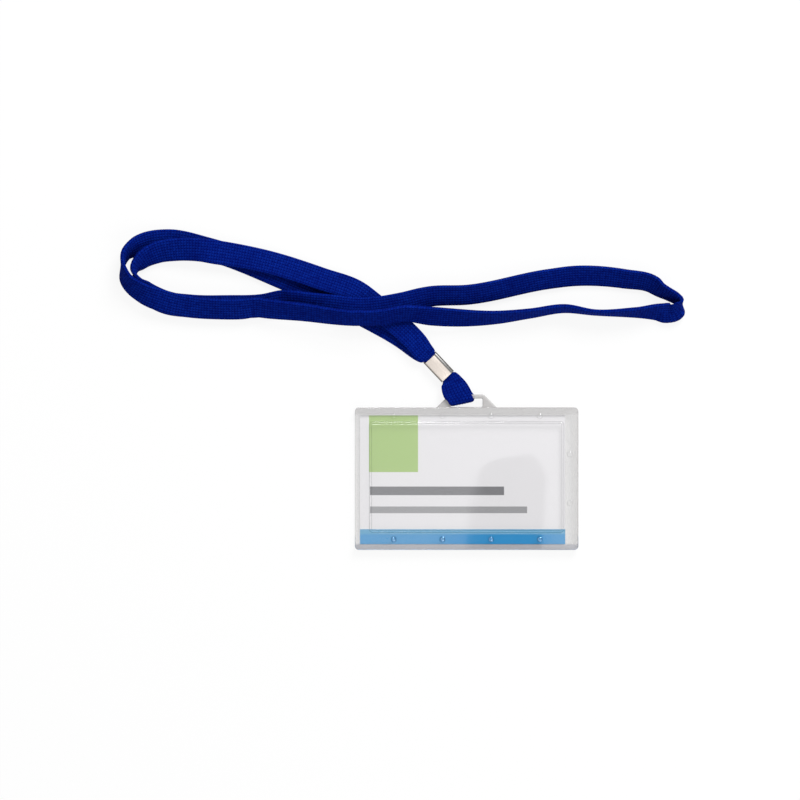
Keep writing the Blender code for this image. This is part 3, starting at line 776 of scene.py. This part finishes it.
def cover_finish():
    """Clear polished sheet, a little bowed and uneven, with painted shade at its bends and pips, tinted
    blue on the bottom row as a painted refraction of the card's band.
    """
    clear = (0.94, 0.94, 0.96)
    cover = Finish("clear_sheet", clear, 0.05, 1.0)
    x, y, _ = cover.place()
    aside = x - BOW_CENTRE[0]
    above = y - BOW_CENTRE[1]
    upright = above.math("MAXIMUM", above * 0.45)
    swell = cover.noise(30.0, 1.0)
    bow = 0.0017 * (aside * aside + upright * upright) + 0.5 * swell
    low_row = y.ease(*LOW_PIPS)
    # Painted shade at the bends and pip sides, and on the bottom row of pips a blue painted refraction
    # of the card's band
    painted_bend_shade = cover.slope().ease(0.02 - 0.02 * low_row, 0.3 - 0.25 * low_row)
    edge = cover.blend(low_row, (0.10, 0.105, 0.115), (0.12, 0.22, 0.36))
    cover.set({"Base Color": cover.blend(painted_bend_shade, clear, edge)})
    cover.set({"Alpha": 0.05 + (0.18 + 0.3 * low_row) * painted_bend_shade})
    cover.set({"Roughness": 0.03 + 0.05 * swell})
    cover.bump(bow, 1 * MM, 1.0)
    return cover


def card_finish():
    """White card with a plain green block, two grey bars and a blue foot band."""
    card = Finish("printed_card", (0.82, 0.81, 0.83), 0.55, Specular_IOR_Level=0.3)
    x, y, z = card.place()
    fibre = card.noise(1500.0, 3.0)

    def printed(left, right, low, high):
        return x.between(left, right, PRINT_EDGE) * y.between(low, high, PRINT_EDGE)

    paper = card.blend(fibre, (0.715, 0.705, 0.72), (0.75, 0.74, 0.755))
    green = card.blend(fibre, (0.35, 0.50, 0.18), (0.38, 0.53, 0.205))
    band = y.ease(BAND_TOP + PRINT_EDGE, BAND_TOP - PRINT_EDGE)
    deep = card.blend(x.between(*BAND_DEEP), (0.06, 0.29, 0.555), (0.02, 0.25, 0.54))
    blue = card.blend(y.ease(*BAND_UPPER), deep, (0.11, 0.335, 0.52))
    front = z.ease(*CARD_FACE)
    colour = card.blend(printed(*GREEN_BLOCK) * front, paper, green)
    colour = card.blend(printed(*LONG_BAR) * front, colour, (0.19, 0.19, 0.20))
    colour = card.blend(printed(*THIN_BAR) * front, colour, (0.31, 0.31, 0.32))
    colour = card.blend(band * front, colour, blue)
    card.set({"Base Color": colour, "Roughness": 0.5 + 0.1 * fibre})
    card.bump(fibre, 0.01 * MM, 0.3)
    return card


# Light: each lamp's name, place, size and power, then the dark patch straight overhead that the
# cover mirrors, the share of the sky that lights matt faces, and the table's own glow
LAMPS = [
    ("key", (0.40, 0.95, 0.85), 0.6, 16.0),
    ("fill", (0.45, -0.70, 0.9), 0.9, 5.0),
]
PATCH_EDGE = math.cos(math.radians(5.8))
PATCH_FULL = math.cos(math.radians(4.8))
SKY_DIFFUSE = 0.42
TABLE_GLOW = 0.88
TABLE_SIZE = 8
TABLE_DROP = 0.05 * MM


def set_view():
    """Camera straight above, framed as the photograph is."""
    camera = bpy.data.cameras.new("view")
    camera.sensor_width = SENSOR
    camera.lens = SENSOR * VIEW_HEIGHT / VIEW_WIDTH
    holder = bpy.data.objects.new("view", camera)
    holder.location = (*VIEW_CENTRE, VIEW_HEIGHT)
    bpy.context.scene.collection.objects.link(holder)
    bpy.context.scene.camera = holder


def set_light():
    """A white table, one large soft lamp, a weaker one across from it, and pale surroundings."""
    bpy.context.scene.view_settings.view_transform = "Standard"
    for name, place, size, power in LAMPS:
        lamp = bpy.data.lights.new(name, "AREA")
        lamp.size = size
        lamp.energy = power
        thing = bpy.data.objects.new(name, lamp)
        thing.location = place
        aim = Vector((*VIEW_CENTRE, 0)) - Vector(place)
        thing.rotation_euler = aim.to_track_quat("-Z", "Y").to_euler()
        bpy.context.scene.collection.objects.link(thing)

    world = bpy.data.worlds.new("surroundings")
    bpy.context.scene.world = world
    world.use_nodes = True
    sky = Shading(world.node_tree)
    upward = sky.split(sky.node("ShaderNodeTexCoord").outputs["Generated"])[2]
    overhead = upward.ease(PATCH_EDGE, PATCH_FULL)
    mirrored = (0.95 - 0.9 * overhead) * (0.06 + 0.94 * upward.ease(0.05, 0.85))
    seen = sky.ray("Camera") + sky.ray("Transmission")
    strength = seen + sky.ray("Glossy") * mirrored + sky.ray("Diffuse") * SKY_DIFFUSE
    sky.fill(sky.tree.nodes["Background"], {"Color": (1, 1, 1, 1), "Strength": strength})

    bpy.ops.mesh.primitive_plane_add(size=TABLE_SIZE, location=(*VIEW_CENTRE, -TABLE_DROP))
    table = bpy.context.object
    table.name = "table"
    paint = Finish("white_table", (0.9, 0.9, 0.9), 0.9)
    white = {"Color": (1, 1, 1, 1), "Strength": 1.0}
    glow = paint.node("ShaderNodeEmission", None, white).outputs[0]
    seen = paint.ray("Camera") + paint.ray("Glossy") + paint.ray("Transmission")
    shares = {0: seen * TABLE_GLOW, 1: paint.shader.outputs[0], 2: glow}
    mixed = paint.node("ShaderNodeMixShader", None, shares)
    paint.fill(paint.tree.nodes["Material Output"], {0: mixed.outputs[0]})
    table.data.materials.append(paint.material)


set_view()
set_light()

knit = knit_finish()
strap, strap_path = neck_strap(knit)
loop = end_loop(knit)
crimp = soft_copy("crimp_sleeve", "bright_crimp", CRIMP_EDGE, crimp_finish())
tray = soft_copy("holder_back", "frosted_tray", TRAY_EDGE, tray_finish())
cover = cover_with_pips(cover_finish())
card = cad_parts["insert_card"]
card.data.materials.clear()
card.data.materials.append(card_finish().material)

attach(strap, "strap")
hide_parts("neck_strap")
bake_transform(loop)
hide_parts("end_loop")
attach(crimp, "strap")
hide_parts("crimp_sleeve")
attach(tray, "holder")
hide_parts("holder_back")
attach(cover, "holder")
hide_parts("holder_front")
